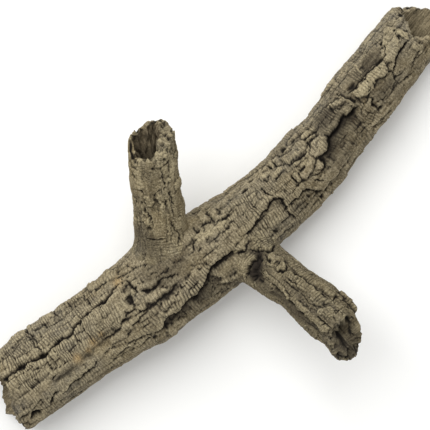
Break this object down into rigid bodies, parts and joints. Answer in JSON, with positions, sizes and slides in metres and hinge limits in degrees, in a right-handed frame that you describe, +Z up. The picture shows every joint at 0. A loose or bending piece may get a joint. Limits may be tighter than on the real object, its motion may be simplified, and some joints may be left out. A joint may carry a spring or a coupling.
{
  "type": "cork branch",
  "caption": "Hollow cork bark branch with a gently bent main limb, two broken side branches and deeply fissured, ribbed bark, lying on its side.",
  "frame": {"origin": "centre of the footprint, on the floor that the branch lies on", "axes": "+X along the main limb from its thick end to its thin end, +Y to the side of the upper side branch, +Z up"},
  "size_m": [0.5922, 0.3055, 0.1433],
  "materials": {
    "main_bark": "dry matt cork bark, grey-brown with tan crests and dark cracks",
    "upper_bark": "dry matt cork bark, a little tanner, pitted",
    "lower_bark": "dry matt cork bark, darker brown"
  },
  "bodies": {
    "root": {"main_limb": "main_bark", "upper_side_branch": "upper_bark", "lower_side_branch": "lower_bark"}
  },
  "joints": []
}
